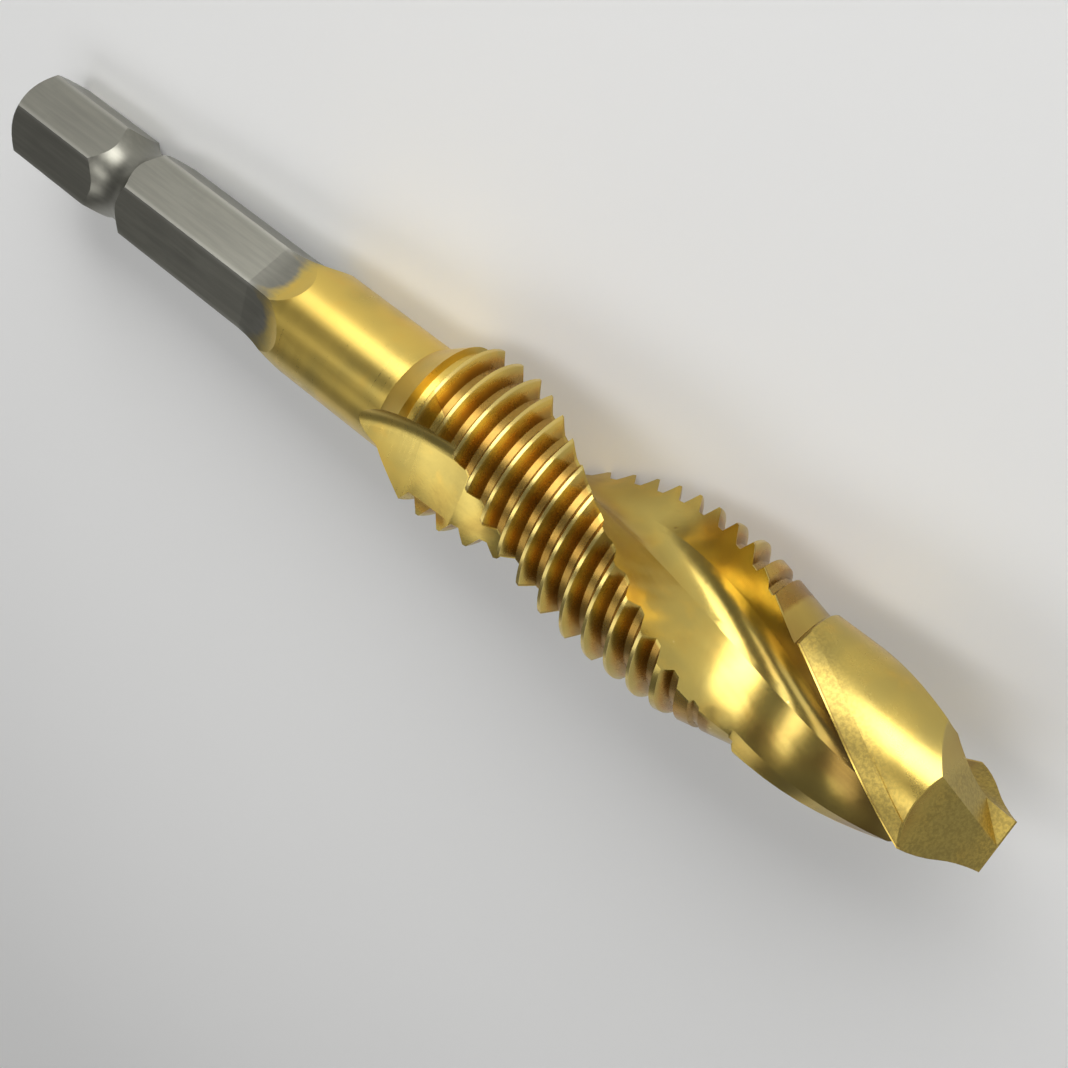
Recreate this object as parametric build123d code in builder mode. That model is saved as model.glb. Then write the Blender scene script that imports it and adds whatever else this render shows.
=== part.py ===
"""Drill-and-tap bit, M12 x 1.75, on a 1/4 inch hexagon power shank.

One piece of ground high-speed steel: a two-flute drill with margins, a taper-lead
tap behind it, a round neck and a hexagon shank with the drive groove of a
quick-change holder.  The tool is drawn upright, with the shank end at z = 0 and
the point at the top, and is then laid down as it rests on a bench.
"""
from build123d import *
from math import asin, atan2, cos, degrees, radians, sin, sqrt, tan
import os

# ---- driving dimensions, mm -------------------------------------------------
OVERALL_LENGTH = 83.7

# tap
THREAD_DIAMETER = 12.0
THREAD_PITCH = 1.75
THREAD_START = 20.5             # from the point, where the taper lead reaches full size
THREAD_LENGTH = 21.6            # of full thread
THREAD_TURN = 316.8             # where on its turn the thread starts, degrees
LEAD_ANGLE = 13.4               # half angle of the taper lead
BACK_ANGLE = 36.0               # half angle of the cone behind the thread
GROOVE_END_ANGLE = 10.0         # how far the thread groove runs out past each land

# drill
DRILL_DIAMETER = 10.3
DRILL_LENGTH = 14.8             # point to the step in front of the tap
STEP_BREAK = 0.3                # broken edge of that step
RELIEF_DIAMETER = 9.4           # turned relief between drill and tap
MARGIN_ANGLE = 13.0             # width of the guiding margin, seen from the end
MARGIN_STEP = 0.10              # how far the land is ground below the margin
HEEL_BEVEL_ANGLE = 6.0          # where the heel of the drill's land is bevelled off
HEEL_BEVEL_DEPTH = 1.1
POINT_ANGLE = 99.5
LIP_RELIEF_ANGLE = 11.0
WEB_AT_POINT = 3.1
GASH_EDGE_ANGLE = 35.0          # edge of the gash on the flank, behind the lip
GASH_FALL = 1.1                 # slope of the gash's valley
CHISEL_LAND = 0.10              # what the gash leaves of the chisel edge

# flutes
FLUTE_TURN_LENGTH = 59.0        # length of one full turn, right hand
FLUTE_START = 27.5              # angle of the leading edge, carried to the point
LAND_ANGLE = 82.5               # width of a land, seen from the end
WEB_THICKNESS = 3.6
RAKE_DEPTH = 2.0                # straight part of the cutting face, in from the drill's edge
RUNOUT_START = 38.5             # from the point, where the flutes stop turning
RUNOUT_RADIUS = 16.0            # radius of the wheel that leaves the flute
RUNOUT_SWING = 50.0             # how far round that wheel the flute is followed

# neck and shank
NECK_DIAMETER = 8.0
HEX_ACROSS_FLATS = 6.35
HEX_LENGTH = 25.3
HEX_WHEEL_RADIUS = 10.0         # the flats run out on this radius
HEX_CORNER_AT = 81.0            # angle of one corner against the flutes
SHANK_CHAMFER = 1.1
DRIVE_GROOVE_Z = 10.6
DRIVE_GROOVE_RADIUS = 2.9
DRIVE_GROOVE_DIAMETER = 5.7

# how it lies
REST_ROLL = 229.7               # turn about its own axis that brings the resting side down
REST_PITCH = 3.21               # the shank is thinner than the thread, so the point lifts

# how far a cutter goes past what it cuts
CUTTER_CLEARANCE = 3.0
GROOVE_OVERRUN = 0.08
FLUTE_OVERRUN = 0.6
HEEL_OVERRUN_ANGLE = 14.0

# ---- worked out from them -----------------------------------------------------
thread_radius = THREAD_DIAMETER / 2
thread_height = THREAD_PITCH * sqrt(3) / 2
root_radius = thread_radius - thread_height * 5 / 8
drill_radius = DRILL_DIAMETER / 2
relief_radius = RELIEF_DIAMETER / 2
neck_radius = NECK_DIAMETER / 2
step_z = OVERALL_LENGTH - DRILL_LENGTH
front_z = OVERALL_LENGTH - THREAD_START
back_z = front_z - THREAD_LENGTH
lead_length = (thread_radius - relief_radius) / tan(radians(LEAD_ANGLE))
relief_z = front_z + lead_length
back_length = (thread_radius - neck_radius) / tan(radians(BACK_ANGLE))
flute_angle = 180 - LAND_ANGLE
turn_per_mm = 360 / FLUTE_TURN_LENGTH
clear_radius = thread_radius + CUTTER_CLEARANCE
clear_z = OVERALL_LENGTH + CUTTER_CLEARANCE


def polar(radius, angle):
    """Point at a radius and an angle in degrees."""
    return (radius * cos(radians(angle)), radius * sin(radians(angle)))


def lead_edge_angle(z):
    """Angle of one leading edge at a height; the flutes stop turning in the run-out."""
    from_point = min(OVERALL_LENGTH - z, RUNOUT_START)
    return -(FLUTE_START + turn_per_mm * from_point)


# ---- the turned blank ---------------------------------------------------------
with BuildPart() as blank:
    with BuildSketch(Plane.XZ):
        with BuildLine():
            Polyline(
                (0, 0),
                (neck_radius, 0),
                (neck_radius, back_z - back_length),
                (thread_radius, back_z),
                (thread_radius, front_z),
                (relief_radius, relief_z),
                (relief_radius, step_z),
                (drill_radius - STEP_BREAK, step_z),
                (drill_radius, step_z + STEP_BREAK),
                (drill_radius, clear_z),
                (0, clear_z),
                close=True,
            )
        make_face()
    revolve(axis=Axis.Z)

# ---- thread groove: a 60 degree groove on a helix, one short stretch for each land ---
groove_floor = THREAD_PITCH / 4
outer_radius = thread_radius + GROOVE_OVERRUN


def groove_half_width(radius):
    """Half width of the thread groove at a radius."""
    return groove_floor / 2 + (radius - root_radius) * tan(radians(30))


stretch_angle = LAND_ANGLE + 2 * GROOVE_END_ANGLE
stretch_rise = THREAD_PITCH * stretch_angle / 360
with BuildPart() as groove_stretch:
    with BuildSketch(Plane((root_radius, 0, -stretch_rise / 2), x_dir=(1, 0, 0), z_dir=(0, 1, 0))):
        with BuildLine():
            Polyline(
                (0, -groove_half_width(root_radius)),
                (outer_radius - root_radius, -groove_half_width(outer_radius)),
                (outer_radius - root_radius, groove_half_width(outer_radius)),
                (0, groove_half_width(root_radius)),
                close=True,
            )
        make_face()
    with BuildLine():
        turning = Helix(THREAD_PITCH, stretch_rise, root_radius, center=(0, 0, -stretch_rise / 2))
    sweep(path=turning, is_frenet=True)


def groove_place(half_turn):
    """Angle and height where the groove crosses the middle of a land."""
    z = (back_z + front_z) / 2
    for _ in range(6):
        angle = lead_edge_angle(z) - LAND_ANGLE / 2 + 180 * half_turn
        z = front_z + THREAD_PITCH * (angle + THREAD_TURN) / 360
    return angle, z


groove_first_z = back_z - back_length * 0.6
groove_last_z = relief_z - groove_half_width(drill_radius)
half_turns = round(OVERALL_LENGTH / THREAD_PITCH * 2)
groove_places = [groove_place(n) for n in range(-half_turns, half_turns)]
groove_places = [place for place in groove_places if groove_first_z <= place[1] <= groove_last_z]

# ---- flute: one ground profile, turned along the tool and lifted out at the neck --
turn_stop_z = OVERALL_LENGTH - RUNOUT_START
turning_length = clear_z - turn_stop_z
turn_start = lead_edge_angle(turn_stop_z)
with BuildPart() as flute:
    with BuildSketch(Plane.XY.offset(turn_stop_z)) as flute_profile:
        with BuildLine():
            rake = Line(polar(clear_radius, 0), polar(drill_radius - RAKE_DEPTH, 3))
            floor_point = polar(WEB_THICKNESS / 2, flute_angle / 2)
            hook = TangentArc(rake @ 1, floor_point, tangent=rake % 1)
            heel_point = polar(thread_radius + FLUTE_OVERRUN, flute_angle + 0.8)
            back = TangentArc(hook @ 1, heel_point, tangent=hook % 1)
            Polyline(
                back @ 1,
                polar(clear_radius, flute_angle + 3),
                polar(clear_radius * 1.4, flute_angle / 2),
                rake @ 0,
            )
        make_face()
    with BuildLine():
        turning = Helix(FLUTE_TURN_LENGTH, turning_length, drill_radius, center=(0, 0, turn_stop_z))
    sweep(path=turning, is_frenet=True)
    out_dir = Vector(*polar(1, flute_angle / 2), 0)
    with BuildLine(Plane((0, 0, turn_stop_z), x_dir=out_dir, z_dir=out_dir.cross(Vector(0, 0, 1)))):
        leaving = CenterArc((RUNOUT_RADIUS, 0), RUNOUT_RADIUS, 180, RUNOUT_SWING)
    sweep(sections=flute_profile.sketch, path=leaving)

# ---- land clearance behind the margin of the drill ------------------------------
clearance_radius = drill_radius - MARGIN_STEP
clearance_z = step_z - STEP_BREAK
clearance_length = clear_z - clearance_z
clearance_start = lead_edge_angle(clearance_z)
with BuildPart() as clearance:
    with BuildSketch(Plane.XY.offset(clearance_z)):
        with BuildLine():
            start, bevel = -MARGIN_ANGLE, HEEL_BEVEL_ANGLE - LAND_ANGLE
            end = -LAND_ANGLE - HEEL_OVERRUN_ANGLE
            inner = ThreePointArc(
                polar(clearance_radius, start),
                polar(clearance_radius, (start + bevel) / 2),
                polar(clearance_radius, bevel),
            )
            Polyline(
                inner @ 1,
                polar(clearance_radius - HEEL_BEVEL_DEPTH, end),
                polar(clear_radius, end),
                polar(clear_radius, start),
                inner @ 0,
            )
        make_face()
    with BuildLine():
        turning = Helix(FLUTE_TURN_LENGTH, clearance_length, drill_radius, center=(0, 0, clearance_z))
    sweep(path=turning, is_frenet=True)

# ---- hexagon flats and drive groove of the shank -----------------------------------
flat_depth = neck_radius - HEX_ACROSS_FLATS / 2
flat_run = sqrt(2 * HEX_WHEEL_RADIUS * (flat_depth + 0.5))
with BuildPart() as hex_flat:
    with BuildSketch(Plane.XZ):
        with BuildLine():
            Polyline(
                (HEX_ACROSS_FLATS / 2, HEX_LENGTH),
                (HEX_ACROSS_FLATS / 2, -1),
                (neck_radius + 2, -1),
                (neck_radius + 2, HEX_LENGTH + flat_run),
                (neck_radius + 0.5, HEX_LENGTH + flat_run),
            )
            wheel_mid = flat_run / 2
            ThreePointArc(
                (neck_radius + 0.5, HEX_LENGTH + flat_run),
                (HEX_ACROSS_FLATS / 2 + wheel_mid ** 2 / (2 * HEX_WHEEL_RADIUS), HEX_LENGTH + wheel_mid),
                (HEX_ACROSS_FLATS / 2, HEX_LENGTH),
            )
        make_face()
    extrude(amount=neck_radius, both=True)

with BuildPart() as drive_groove:
    with BuildSketch(Plane.XZ):
        with Locations((DRIVE_GROOVE_DIAMETER / 2 + DRIVE_GROOVE_RADIUS, DRIVE_GROOVE_Z)):
            Circle(DRIVE_GROOVE_RADIUS)
    revolve(axis=Axis.Z)

# ---- point: two relieved flanks and two gashes that split the chisel edge ----------------
half_point = radians(POINT_ANGLE / 2)
half_web = WEB_AT_POINT / 2
lip_fall = 1 / tan(half_point)
back_fall = tan(radians(LIP_RELIEF_ANGLE))
lip_offset = degrees(asin(half_web / drill_radius))
corner_depth = lip_fall * drill_radius * cos(radians(lip_offset)) - back_fall * half_web
lip_angle = lead_edge_angle(OVERALL_LENGTH - corner_depth) - lip_offset
lip_dir = Vector(*polar(1, lip_angle), 0)
back_dir = Vector(*polar(1, lip_angle - 90), 0)
point_height = OVERALL_LENGTH + back_fall * half_web
flank_plane = Plane(
    Vector(0, 0, point_height) - back_dir * half_web,
    z_dir=lip_dir * lip_fall + back_dir * back_fall + Vector(0, 0, 1),
)

chisel_angle = lip_angle - degrees(atan2(lip_fall, -back_fall))
edge_angle = lip_angle - GASH_EDGE_ANGLE
edge_fall = lip_fall * cos(radians(GASH_EDGE_ANGLE)) + back_fall * sin(radians(GASH_EDGE_ANGLE))
edge_dir = Vector(*polar(1, edge_angle), -edge_fall)
valley_dir = Vector(*polar(1, chisel_angle), -GASH_FALL)
gash_floor = Plane((0, 0, OVERALL_LENGTH), z_dir=valley_dir.cross(edge_dir))
wall_normal = Vector(*polar(1, chisel_angle + 90), 0)
gash_wall = Plane(Vector(0, 0, OVERALL_LENGTH) + wall_normal * CHISEL_LAND, z_dir=wall_normal)
with BuildPart() as gash:
    with Locations((0, 0, OVERALL_LENGTH)):
        Box(5 * clear_radius, 5 * clear_radius, 5 * clear_radius)
    split(bisect_by=gash_wall, keep=Keep.TOP)
    split(bisect_by=gash_floor, keep=Keep.TOP)

# ---- the tool, upright ------------------------------------------------------------------------
with BuildPart() as tool:
    add(blank.part)
    chamfer(tool.edges().group_by(Axis.Z)[0], SHANK_CHAMFER)
    for i in range(2):
        add(flute.part, rotation=(0, 0, 180 * i + turn_start), mode=Mode.SUBTRACT)
    for i in range(2):
        add(clearance.part, rotation=(0, 0, 180 * i + clearance_start), mode=Mode.SUBTRACT)
    for i in range(6):
        add(hex_flat.part, rotation=(0, 0, 60 * i + 30 - HEX_CORNER_AT), mode=Mode.SUBTRACT)
    add(drive_groove.part, mode=Mode.SUBTRACT)
    for turn in (0, 180):
        flank = Plane(
            flank_plane.origin.rotate(Axis.Z, turn),
            z_dir=flank_plane.z_dir.rotate(Axis.Z, turn),
        )
        split(bisect_by=flank, keep=Keep.BOTTOM)
    for turn in (0, 180):
        add(gash.part, rotation=(0, 0, turn), mode=Mode.SUBTRACT)
    for angle, z in groove_places:
        with Locations((0, 0, z)):
            add(groove_stretch.part, rotation=(0, 0, angle - stretch_angle / 2), mode=Mode.SUBTRACT)

# ---- laid down: the thread and one corner of the shank touch the bench -------------------
with BuildPart() as lying:
    add(tool.part, rotation=(0, 90 - REST_PITCH, REST_ROLL))
extent = lying.part.bounding_box()
with BuildPart() as drill_tap:
    with Locations((-extent.center().X, -extent.center().Y, -extent.min.Z)):
        add(lying.part)
drill_tap.part.label = "drill_tap"

os.makedirs("parts", exist_ok=True)
export_step(drill_tap.part, "parts/drill_tap.step")
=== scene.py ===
"""Dresses a combined drill and thread tap: titanium-nitride coating on the cutting end
and the neck, bare ground steel on the hexagon shank, on a plain pale floor."""
import math

import bpy
from bpy.props import FloatProperty, FloatVectorProperty, PointerProperty
from mathutils import Euler, Matrix, Vector

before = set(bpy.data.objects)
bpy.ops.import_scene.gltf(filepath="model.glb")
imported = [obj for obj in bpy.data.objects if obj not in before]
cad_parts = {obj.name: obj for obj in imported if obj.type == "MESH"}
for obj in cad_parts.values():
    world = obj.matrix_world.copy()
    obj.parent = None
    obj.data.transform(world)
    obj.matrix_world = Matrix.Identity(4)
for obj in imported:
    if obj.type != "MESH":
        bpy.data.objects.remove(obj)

bl_info = {
    "name": "Drill and Thread Tap",
    "version": (1, 0, 0),
    "blender": (4, 5, 0),
    "location": "View3D > Sidebar > Thread Tap",
    "description": "Coated and ground finishes for a combined drill and thread tap",
    "category": "Object",
}

MM = 0.001
TOOL_NODE = "drill_tap"

# how the tool lies: the middle of its shank end, its turn about its own axis, its slope
END_CENTRE_MM = (-41.7288, 0.0, 3.1690)
REST_ROLL = math.radians(229.7)
REST_PITCH = math.radians(3.21)

# the tool's own measures, in millimetres from the shank end or from its axis
TOOL_LENGTH = 83.7
HEX_END = 25.3
DRILL_START = TOOL_LENGTH - 14.8
THREAD_BACK = TOOL_LENGTH - 42.1
THREAD_ROOT = 5.07
THREAD_CREST = 6.0
DRILL_RADIUS = 5.15
FLUTE_DEGREES_PER_MM = 6.1017
LEADING_EDGE_AT_POINT = 27.45
LAND_ANGLE = 82.5

# each pair below is where a mask starts and where it is full, or starts to fade and is gone.
# Along the tool, in millimetres from the shank end:
DRILL_STEP = (DRILL_START - 0.3, DRILL_START + 0.1)
THREAD_ENTRY = (THREAD_BACK, THREAD_BACK + 0.6)
NECK_ENTRY = (HEX_END, HEX_END + 3.0)
NECK_EXIT = (THREAD_BACK - 0.5, THREAD_BACK + 0.5)
# a painted dark reflection in the drill's flute starts here
DARK_REFLECTION_ENTRY = (DRILL_START - 4.0, DRILL_START + 1.0)
# a painted highlight along the hexagon's corners ends here
CORNER_HIGHLIGHT_EXIT = (HEX_END, HEX_END + 1.0)
# back from the point, in millimetres:
POINT_FACE_EXIT = (3.4, 4.4)
# the painted dark reflection in the drill's flute fades out here
DARK_REFLECTION_EXIT = (1.5, 5.0)
# out from the axis, in millimetres:
DRILL_MARGIN = (DRILL_RADIUS - 0.24, DRILL_RADIUS - 0.12)
THREAD_LAND = (THREAD_ROOT - 0.10, THREAD_ROOT)
GROOVE_WALL = (THREAD_ROOT + 0.35, THREAD_CREST - 0.10)
# the groove floor, which is darkened with painted shade
GROOVE_FLOOR = (THREAD_ROOT + 0.08, THREAD_ROOT + 0.55)
# the thread crests, which carry a painted highlight
THREAD_TOP = (THREAD_CREST - 0.10, THREAD_CREST - 0.02)
# the hexagon's corners, which carry a painted highlight
HEX_CORNER = (3.50, 3.64)
HEX_RIDGE = (3.35, 3.62)
# round the tool, in degrees behind the leading edge, and from one land to the next:
LAND_HEEL = (LAND_ANGLE - 2.0, LAND_ANGLE + 1.0)
# over this band the land near its leading edge is ground, and its colour is also darkened as painted shade
GROUND_BAND = (8.0, 34.0)
# a painted shadow line follows the leading edge over this band
EDGE_SHADOW_BAND = (0.5, 1.4)
LAND_SPACING = 180.0

# grain: clouds per unit of place, finer steps within them, and how rough those are
CLOUDS = (0.16, 2.0, 0.55)
PATCHES = (0.55, 3.0, 0.55)
GRIT = (5.0, 4.0, 0.65)
FINE_GRIT = (11.0, 2.0, 0.7)
WHEEL_MARKS = (4.0, 4.0, 0.6)
TURNED_RINGS = (5.0, 3.0, 0.7)
DRAWN_LINES = (3.2, 4.0, 0.65)
FLOOR_CLOUDS = (30.0, 2.0, 0.55)
GRAIN_MIDDLE = 0.5

# how place is squeezed so that grain becomes marks along the flutes, round the neck and
# along the shank
FLUTE_SQUEEZE = (0.10, 0.035, 0.4)
TURNED_SQUEEZE = 0.02
DRAWN_SQUEEZE = 0.05

# spots: how many per millimetre, and their size as a share of their spacing
DARK_SPOTS = (0.42, 0.055)
PALE_SPOTS = (0.36, 0.045)
SPOT_CORE = 0.6
PALE_SPOTS_ASIDE = (31.0, 17.0, 11.0)

# the coating's uneven start: how far patches, drawn lines and corners move it, and how
# far its soft edge reaches to either side, in millimetres
START_BY_PATCHES = 2.2
START_BY_LINES = 1.6
START_BY_CORNERS = 1.8
START_BEFORE = 1.2
START_AFTER = 1.6

COATED_ROUGHNESS = 0.235
BARE_ROUGHNESS = 0.37
FLOOR_ROUGHNESS = 0.9
FLOOR_SHEEN = 0.2
FLOOR_CLOUD_TONE = 0.98
MICROMETRE = 1e-6
BLACK = (0.0, 0.0, 0.0, 1.0)
WHITE = (1.0, 1.0, 1.0, 1.0)

# the camera's place and turn in the upright tool's frame; they are laid down with it
CAMERA_PLACE_MM = (0.0, -96.2415, 89.80)
CAMERA_TURN = tuple(math.radians(turn) for turn in (-56.654, -46.900, 153.074))
CAMERA_LENS = 56.48
CAMERA_SENSOR = 36.0
CAMERA_NEAREST = 5 * MM

# each lamp: its name, the setting with its power, its angle in degrees about the upright
# tool, its distance from the axis and height along it in mm, and its sides in metres
LAMPS = (
    ("key_lamp", "key_power", -116.0, 260.0, 40.0, (0.34, 0.15)),
    ("strip_lamp", "strip_power", -62.0, 300.0, 44.0, (0.34, 0.07)),
    ("fill_lamp", "fill_power", -20.0, 320.0, 30.0, (0.30, 0.12)),
)
# the lamps stand low, so their light is kept narrow enough to leave the floor under them even
LAMP_SPREAD = math.radians(95.0)

# the floor's own paleness grows between these distances from the middle, in metres, and
# the walls fade out between these heights of the direction looked in
FAR_FLOOR = (0.102, 0.34)
WALL_TOP = (0.02, 0.30)

# the numbers of the Mix node's colour sockets, which share their names with others
MIX_FACTOR, MIX_UNDER, MIX_OVER = 0, 6, 7
MIX_RESULT = 2


def lay_down():
    """The matrix that lays the upright tool down: a turn about its own axis, a swing from
    +Z to +X less the slope at which it rests, and a shift to the middle of its end."""
    swing = Matrix.Rotation(math.pi / 2 - REST_PITCH, 4, "Y")
    turn = Matrix.Rotation(REST_ROLL, 4, "Z")
    return Matrix.Translation(Vector(END_CENTRE_MM) * MM) @ swing @ turn


def beside_tool(angle, distance, along):
    """A point beside the upright tool, in metres: at an angle in degrees about its axis, at
    a distance from the axis and a height along it, both in millimetres, then laid down."""
    turn = math.radians(angle)
    upright = Vector((distance * math.cos(turn), distance * math.sin(turn), along))
    return lay_down() @ (upright * MM)


# ---------------------------------------------------------------- shader expressions

class Wire:
    """One output socket of a material. Sums and products of wires add Math nodes."""

    def __init__(self, tree, socket):
        self.tree = tree
        self.socket = socket

    def maths(self, operation, *values):
        settings = {"operation": operation}
        return add_node(self.tree, "ShaderNodeMath", settings, dict(enumerate(values)))

    def __add__(self, other):
        return self.maths("ADD", self, other)

    def __radd__(self, other):
        return self.maths("ADD", other, self)

    def __sub__(self, other):
        return self.maths("SUBTRACT", self, other)

    def __rsub__(self, other):
        return self.maths("SUBTRACT", other, self)

    def __mul__(self, other):
        return self.maths("MULTIPLY", self, other)

    def __rmul__(self, other):
        return self.maths("MULTIPLY", other, self)

    def root(self):
        return self.maths("SQRT", self)

    def degrees_from(self, across):
        """The angle, in degrees, at which this value stands over the one across."""
        return self.maths("ARCTAN2", self, across) * math.degrees(1)

    def wrap(self, top):
        """The value brought into the range from 0 to top by adding whole tops."""
        return self.maths("WRAP", self, top, 0.0)

    def least(self, other):
        return self.maths("MINIMUM", self, other)

    def most(self, other):
        return self.maths("MAXIMUM", self, other)

    def rise(self, low, high):
        """0 below low, 1 above high, and a smooth step between them."""
        return add_node(self.tree, "ShaderNodeMapRange", {"interpolation_type": "SMOOTHSTEP"},
                        {"Value": self, "From Min": low, "From Max": high})

    def fall(self, low, high):
        """1 below low, 0 above high."""
        return 1 - self.rise(low, high)

    def swing(self):
        """How far grain is above or below its middle."""
        return self - GRAIN_MIDDLE

    def paint(self, under, over):
        """The colour under where this value is 0, and the colour over where it is 1."""
        return add_node(self.tree, "ShaderNodeMix", {"data_type": "RGBA"},
                        {MIX_FACTOR: self, MIX_UNDER: under, MIX_OVER: over}, MIX_RESULT)


def add_node(tree, kind, settings, inputs, output=0):
    """Adds a node: its settings first, then a number, a colour or a Wire for each named or
    numbered input. It gives the wanted output as a Wire, or a tuple of outputs as Wires."""
    node = tree.nodes.new(kind)
    for name, value in settings.items():
        setattr(node, name, value)
    for name, value in inputs.items():
        if isinstance(value, Wire):
            tree.links.new(value.socket, node.inputs[name])
        else:
            node.inputs[name].default_value = value
    if isinstance(output, tuple):
        return tuple(Wire(tree, node.outputs[name]) for name in output)
    return Wire(tree, node.outputs[output])


def joined(tree, x, y, z):
    """The place whose three coordinates are x, y and z."""
    return add_node(tree, "ShaderNodeCombineXYZ", {}, {0: x, 1: y, 2: z})


def noise(tree, place, scale, detail, rough):
    """Cloudy grain between about 0 and 1."""
    return add_node(tree, "ShaderNodeTexNoise", {},
                    {"Vector": place, "Scale": scale, "Detail": detail, "Roughness": rough})


def specks(tree, place, scale, size):
    """1 in small round spots scattered through the place, and 0 between them."""
    distance = add_node(tree, "ShaderNodeTexVoronoi", {}, {"Vector": place, "Scale": scale})
    return distance.fall(size * SPOT_CORE, size)


def tool_finish(look):
    """The material of the whole tool. Object coordinates are brought back to the upright
    tool in millimetres, where x and y are across it and z runs from the shank end to the
    point, so each ground, turned, coated or bare face is found by where it lies."""
    material = bpy.data.materials.new("coated_and_ground_steel")
    material.use_nodes = True
    tree = material.node_tree
    shader = tree.nodes["Principled BSDF"]

    back = lay_down().to_3x3().inverted()
    shift = -(back @ Vector(END_CENTRE_MM))
    place = add_node(tree, "ShaderNodeTexCoord", {}, {}, "Object")
    upright = add_node(tree, "ShaderNodeMapping", {"vector_type": "POINT"}, {
        "Vector": place, "Location": shift, "Rotation": back.to_euler("XYZ"),
        "Scale": (1 / MM, 1 / MM, 1 / MM)})
    x, y, z = add_node(tree, "ShaderNodeSeparateXYZ", {}, {0: upright}, ("X", "Y", "Z"))

    radius = (x * x + y * y).root()
    angle = y.degrees_from(x)
    from_point = TOOL_LENGTH - z
    # degrees behind the leading edge of the nearer land, which winds with the flutes
    winding = 0 - angle - from_point * FLUTE_DEGREES_PER_MM - LEADING_EDGE_AT_POINT
    behind_edge = winding.wrap(LAND_SPACING)
    squeeze_round, squeeze_along, squeeze_out = FLUTE_SQUEEZE
    along_helix = joined(tree, behind_edge * squeeze_round, z * squeeze_along, radius * squeeze_out)
    round_turn = joined(tree, x * TURNED_SQUEEZE, y * TURNED_SQUEEZE, z)
    along_shank = joined(tree, x, y, z * DRAWN_SQUEEZE)

    # where each kind of face lies
    on_drill = z.rise(*DRILL_STEP)
    on_thread = z.rise(*THREAD_ENTRY) * (1 - on_drill)
    on_neck = z.rise(*NECK_ENTRY) * z.fall(*NECK_EXIT)
    on_land = behind_edge.fall(*LAND_HEEL)
    outer_drill = radius.rise(*DRILL_MARGIN) * on_drill
    outer_thread = radius.rise(*THREAD_LAND) * on_thread * on_land
    outside = outer_drill.most(outer_thread)
    # ground faces: their grain is real, and their colour is also darkened as painted shade
    near_edge = outer_drill * behind_edge.fall(*GROUND_BAND)
    point_face = from_point.fall(*POINT_FACE_EXIT) * (1 - outer_drill)
    ground_face = near_edge.most(point_face)
    flute = (on_drill + on_thread).least(1.0) * (1 - outside) * (1 - point_face)
    # the grooves get an orange tint that is also darkened as painted shade
    groove = outer_thread * radius.fall(*GROOVE_WALL)
    # painted shade: the groove roots are darkened where shadow falls in them
    groove_root_shade = outer_thread * radius.fall(*GROOVE_FLOOR)
    # painted reflection: the drill's flute is darkened brown as if it mirrored a dark room
    flute_dark_reflection = flute * z.rise(*DARK_REFLECTION_ENTRY) * from_point.rise(*DARK_REFLECTION_EXIT)
    # painted highlight: the thread crests are painted paler
    crest_line_highlight = outer_thread * radius.rise(*THREAD_TOP)
    # painted shadow: a thin dark line just behind the leading edge
    edge_shadow = outside * behind_edge.fall(*EDGE_SHADOW_BAND)

    # grain: broad clouds, ground grit, wheel marks along the flute, turned rings, drawn lines
    clouds = noise(tree, upright, *CLOUDS)
    patches = noise(tree, upright, *PATCHES)
    grit = noise(tree, upright, *GRIT)
    fine_grit = noise(tree, upright, *FINE_GRIT)
    wheel_marks = noise(tree, along_helix, *WHEEL_MARKS)
    rings = noise(tree, round_turn, *TURNED_RINGS)
    drawn_lines = noise(tree, along_shank, *DRAWN_LINES)
    aside_x, aside_y, aside_z = PALE_SPOTS_ASIDE
    moved = joined(tree, x + aside_x, y - aside_y, z + aside_z)
    dark_spots = specks(tree, upright, *DARK_SPOTS) * flute
    pale_spots = specks(tree, moved, *PALE_SPOTS) * flute

    # the coating: gold, greener in clouds, then layer on layer: how much shows, and its colour. Several
    # layers paint light and shade: shade in the groove roots, the grooves, the ground faces and along the
    # leading edges, a dark reflection in the drill's flute, and a highlight on the thread crests
    gold = clouds.rise(0.35, 0.65).paint(look.coating_cool, look.coating)
    layers = (
        (patches.rise(0.50, 0.78) * 0.45, look.coating_warm),
        (flute * clouds.rise(0.44, 0.62) * (0.35 + wheel_marks * 0.6), look.brown_streaks_and_shade),
        # orange tint of the grooves, darkened as painted shade
        (groove * (0.55 + patches.rise(0.35, 0.65) * 0.4), look.orange_and_groove_shade),
        # painted shade darkening the groove roots
        (groove_root_shade * 0.7, look.brown_streaks_and_shade),
        # painted dark reflection in the drill's flute
        (flute_dark_reflection * (0.25 + clouds.rise(0.38, 0.62) * 0.55), look.brown_streaks_and_shade),
        # painted highlight along the thread crests
        (crest_line_highlight * 0.35, look.pale_specks_and_crest_highlight),
        # ground faces: real grain, with the colour darkened as painted shade
        (ground_face * (0.40 + grit.rise(0.36, 0.64) * 0.45), look.ground_grain_and_shade),
        # painted shadow line along the leading edge
        (edge_shadow * 0.6, look.brown_streaks_and_shade),
        (dark_spots * 0.6, look.brown_streaks_and_shade),
        (pale_spots * 0.7, look.pale_specks_and_crest_highlight),
    )
    for cover, tint in layers:
        gold = cover.paint(gold, tint)

    # the bare shank: drawn lines, darker patches and a painted highlight along the hexagon's corners
    steel = (0.25 + drawn_lines.rise(0.30, 0.72) * 0.5).paint(look.steel_dark, look.steel)
    steel = (patches.rise(0.55, 0.80) * 0.4).paint(steel, look.steel_dark)
    # painted highlight: the hexagon's corners are painted paler where they catch the light
    hex_corner_highlight = radius.rise(*HEX_CORNER) * z.fall(*CORNER_HIGHLIGHT_EXIT)
    steel = (hex_corner_highlight * 0.5).paint(steel, look.steel_highlight)

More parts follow.
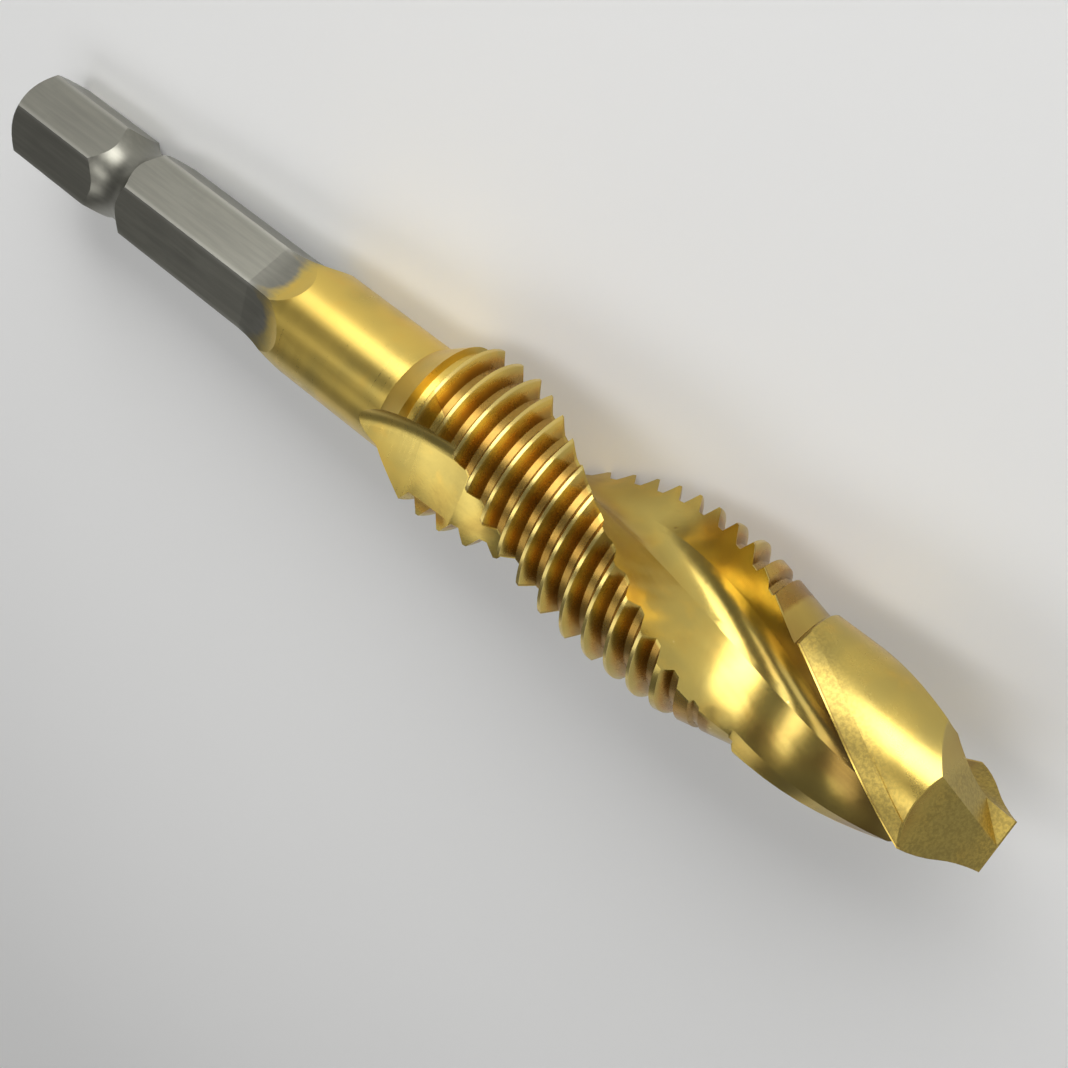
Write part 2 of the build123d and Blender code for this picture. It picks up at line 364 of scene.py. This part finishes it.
    # the soft uneven edge at which the coating starts
    reach = z + patches.swing() * START_BY_PATCHES + drawn_lines.swing() * START_BY_LINES
    reach = reach + radius.rise(*HEX_RIDGE) * START_BY_CORNERS
    start = look.coating_from / MM
    coated = reach.rise(start - START_BEFORE, start + START_AFTER)
    colour = coated.paint(steel, gold)

    # polish: smooth flutes, matt ground faces, satin neck and shank
    dull = COATED_ROUGHNESS + ground_face * 0.15 + outer_drill * 0.03 + groove * 0.05 + on_neck * 0.07
    dull = dull + grit.swing() * 0.10 + wheel_marks.swing() * flute * 0.08
    dull = dull + rings.swing() * on_neck * 0.16 + clouds.swing() * 0.10
    bare = BARE_ROUGHNESS + drawn_lines.swing() * 0.12 + patches.swing() * 0.10
    gloss = dull * coated + bare * (1 - coated)

    # relief, in micrometres
    ground = grit * 2.2 + fine_grit * 1.0
    relief = ground * (0.25 + ground_face * 1.6) * coated
    relief = relief + wheel_marks * flute * 2.5 + rings * on_neck * 2.4 + drawn_lines * (1 - coated) * 2.0
    relief = relief - dark_spots * 6.0 + pale_spots * 4.0
    bump = add_node(tree, "ShaderNodeBump", {}, {
        "Height": relief * MICROMETRE, "Distance": 1.0, "Strength": look.relief})

    tree.links.new(colour.socket, shader.inputs["Base Color"])
    tree.links.new(gloss.socket, shader.inputs["Roughness"])
    tree.links.new(bump.socket, shader.inputs["Normal"])
    shader.inputs["Metallic"].default_value = 1.0
    return material


def seen_directly(tree):
    """1 for what the camera, a gloss or a clear body shows, and 0 for scattered light."""
    kinds = ("Is Camera Ray", "Is Glossy Ray", "Is Transmission Ray")
    camera, gloss, clear = add_node(tree, "ShaderNodeLightPath", {}, {}, kinds)
    return camera.most(gloss).most(clear)


def floor_finish(look):
    """A plain pale matt floor with the faintest clouding. Beyond the reach of the lamps it
    keeps its paleness to the eye without adding scattered light to the tool."""
    material = bpy.data.materials.new("pale_floor")
    material.use_nodes = True
    tree = material.node_tree
    shader = tree.nodes["Principled BSDF"]
    place = add_node(tree, "ShaderNodeTexCoord", {}, {}, "Object")
    clouds = noise(tree, place, *FLOOR_CLOUDS)
    red, green, blue = (part * FLOOR_CLOUD_TONE for part in look.floor_colour[:3])
    tone = clouds.paint(look.floor_colour, (red, green, blue, 1.0))
    x, y = add_node(tree, "ShaderNodeSeparateXYZ", {}, {0: place}, ("X", "Y"))
    far = (x * x + y * y).root().rise(*FAR_FLOOR)
    glow = (far * seen_directly(tree) * look.far_level).paint(BLACK, WHITE)
    tree.links.new(tone.socket, shader.inputs["Base Color"])
    tree.links.new(glow.socket, shader.inputs["Emission Color"])
    shader.inputs["Emission Strength"].default_value = 1.0
    shader.inputs["Roughness"].default_value = FLOOR_ROUGHNESS
    shader.inputs["Specular IOR Level"].default_value = FLOOR_SHEEN
    return material


# ---------------------------------------------------------------- settings

def colour_setting(name, description, default):
    """An opaque colour that a user can change."""
    return FloatVectorProperty(name=name, description=description, subtype="COLOR", size=4,
                               min=0.0, max=1.0, default=(*default, 1.0))


class TapFinish(bpy.types.PropertyGroup):
    """Colours and polish of the tool."""
    coating: colour_setting("Coating", "Titanium-nitride gold", (0.74, 0.53, 0.12))
    coating_cool: colour_setting("Cool Coating", "Greener, darker clouds of the coating", (0.52, 0.40, 0.11))
    # the grainy tone of the ground faces, darkened as painted shade
    ground_grain_and_shade: colour_setting("Ground Coating", "Grainy tone of the ground faces", (0.30, 0.225, 0.065))
    coating_warm: colour_setting("Warm Coating", "Warmer patches of the coating", (0.76, 0.48, 0.09))
    # brown streaks and specks in the flutes, also used for painted shade in the groove roots and along the
    # leading edges, and for the painted dark reflection in the drill's flute
    brown_streaks_and_shade: colour_setting("Brown Coating", "Brown streaks in the flutes", (0.27, 0.165, 0.045))
    # an orange tint of the thread grooves, darkened as painted shade
    orange_and_groove_shade: colour_setting("Orange Coating", "Tint of the thread grooves", (0.50, 0.25, 0.035))
    # paler specks in the flutes, and a painted highlight along the thread crests
    pale_specks_and_crest_highlight: colour_setting("Lighter Coating", "Paler edges and crests", (0.84, 0.68, 0.28))
    steel: colour_setting("Steel", "Bare ground steel of the shank", (0.285, 0.28, 0.235))
    steel_dark: colour_setting("Dark Steel", "Darker drawn lines of the shank", (0.215, 0.21, 0.18))
    # a painted highlight along the hexagon's corners
    steel_highlight: colour_setting("Lighter Steel", "Paler corners of the hexagon", (0.46, 0.45, 0.40))
    coating_from: FloatProperty(name="Coating Starts",
                                description="Distance of the coating from the shank end",
                                unit="LENGTH", default=28.8 * MM, min=0.0, max=TOOL_LENGTH * MM)
    relief: FloatProperty(name="Relief", description="How strongly the ground and turned marks show",
                          default=0.8, min=0.0, max=2.0)


class StageLook(bpy.types.PropertyGroup):
    """Floor, lamps and camera."""
    floor_colour: colour_setting("Floor", "Colour of the pale floor", (0.88, 0.88, 0.87))
    floor_size: FloatProperty(name="Floor Size", description="Length of each side of the floor",
                              unit="LENGTH", default=6.0, min=0.5, max=20.0)
    key_power: FloatProperty(name="Key Lamp", description="Power of the large soft lamp", unit="POWER",
                             default=0.235, min=0.0, max=10.0)
    strip_power: FloatProperty(name="Strip Lamp", description="Power of the narrow lamp overhead",
                               unit="POWER", default=0.07, min=0.0, max=10.0)
    fill_power: FloatProperty(name="Fill Lamp", description="Power of the soft lamp across from it",
                              unit="POWER", default=0.05, min=0.0, max=10.0)
    sky: FloatProperty(name="Room Light", description="Strength of the even light from all round",
                       default=0.17, min=0.0, max=2.0)
    far_level: FloatProperty(name="Far Floor", description="Paleness of the floor beyond the lamps",
                             default=0.58, min=0.0, max=1.0)
    wall_level: FloatProperty(name="Walls", description="Paleness of the room at the horizon",
                              default=0.72, min=0.0, max=1.0)


# ---------------------------------------------------------------- operators

class TAP_OT_finish_tool(bpy.types.Operator):
    """Give the tool its coating, its ground faces and its bare shank"""
    bl_idname = "tap.finish_tool"
    bl_label = "Finish Tool"

    def execute(self, context):
        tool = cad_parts[TOOL_NODE]
        finish = tool_finish(context.scene.tap_finish)
        if not tool.material_slots:
            tool.data.materials.append(finish)
        for slot in tool.material_slots:
            slot.material = finish
        return {"FINISHED"}


class TAP_OT_set_stage(bpy.types.Operator):
    """Lay the floor, hang the lamps and place the camera"""
    bl_idname = "tap.set_stage"
    bl_label = "Set Stage"

    def execute(self, context):
        look = context.scene.tap_stage
        lay_floor(look)
        middle = beside_tool(0.0, 0.0, TOOL_LENGTH * 0.5)
        for name, setting, angle, distance, along, sides in LAMPS:
            place = beside_tool(angle, distance, along)
            hang_lamp(name, place, middle, sides, getattr(look, setting))
        light_room(look)
        place_camera(context.scene)
        context.scene.view_settings.view_transform = "Standard"
        return {"FINISHED"}


def lay_floor(look):
    """A flat square in the plane on which the tool lies."""
    half = look.floor_size / 2
    mesh = bpy.data.meshes.new("floor")
    corners = [(-half, -half, 0), (half, -half, 0), (half, half, 0), (-half, half, 0)]
    mesh.from_pydata(corners, [], [(0, 1, 2, 3)])
    mesh.materials.append(floor_finish(look))
    floor = bpy.data.objects.new("floor", mesh)
    bpy.context.scene.collection.objects.link(floor)


def hang_lamp(name, place, target, sides, power):
    """A soft rectangular lamp at a place, facing the target."""
    data = bpy.data.lights.new(name, "AREA")
    data.shape = "RECTANGLE"
    data.size, data.size_y = sides
    data.spread = LAMP_SPREAD
    data.energy = power
    lamp = bpy.data.objects.new(name, data)
    lamp.location = place
    lamp.rotation_euler = (target - place).to_track_quat("-Z", "Y").to_euler()
    bpy.context.scene.collection.objects.link(lamp)


def light_room(look):
    """Even light from all round, and pale walls near the horizon, which show directly, in
    reflections and through clear bodies but add no scattered light."""
    world = bpy.data.worlds.new("room")
    world.use_nodes = True
    tree = world.node_tree
    direction = add_node(tree, "ShaderNodeTexCoord", {}, {}, "Generated")
    height = add_node(tree, "ShaderNodeSeparateXYZ", {}, {0: direction}, "Z")
    walls = height.fall(*WALL_TOP) * seen_directly(tree)
    strength = look.sky + walls * (look.wall_level - look.sky)
    background = tree.nodes["Background"]
    background.inputs["Color"].default_value = WHITE
    tree.links.new(strength.socket, background.inputs["Strength"])
    bpy.context.scene.world = world


def place_camera(scene):
    """The camera, carried from the upright tool's frame to where the tool lies."""
    data = bpy.data.cameras.new("camera")
    data.lens = CAMERA_LENS
    data.sensor_width = CAMERA_SENSOR
    data.sensor_fit = "HORIZONTAL"
    data.clip_start = CAMERA_NEAREST
    camera = bpy.data.objects.new("camera", data)
    place = Matrix.Translation(Vector(CAMERA_PLACE_MM) * MM)
    camera.matrix_world = lay_down() @ place @ Euler(CAMERA_TURN).to_matrix().to_4x4()
    scene.collection.objects.link(camera)
    scene.camera = camera


class TAP_PT_panel(bpy.types.Panel):
    """Lists the tool's finishes and its stage"""
    bl_idname = "TAP_PT_panel"
    bl_label = "Drill and Thread Tap"
    bl_space_type = "VIEW_3D"
    bl_region_type = "UI"
    bl_category = "Thread Tap"

    def draw(self, context):
        for title, group, operator in (("Tool", context.scene.tap_finish, "tap.finish_tool"),
                                       ("Stage", context.scene.tap_stage, "tap.set_stage")):
            box = self.layout.box()
            box.label(text=title)
            for name in group.__annotations__:
                box.prop(group, name)
            box.operator(operator)


CLASSES = (TapFinish, StageLook, TAP_OT_finish_tool, TAP_OT_set_stage, TAP_PT_panel)


def register():
    for cls in CLASSES:
        bpy.utils.register_class(cls)
    bpy.types.Scene.tap_finish = PointerProperty(type=TapFinish)
    bpy.types.Scene.tap_stage = PointerProperty(type=StageLook)


def unregister():
    del bpy.types.Scene.tap_stage
    del bpy.types.Scene.tap_finish
    for cls in reversed(CLASSES):
        bpy.utils.unregister_class(cls)


def main():
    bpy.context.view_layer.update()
    register()
    bpy.ops.tap.finish_tool()
    bpy.ops.tap.set_stage()


if __name__ == "__main__":
    main()
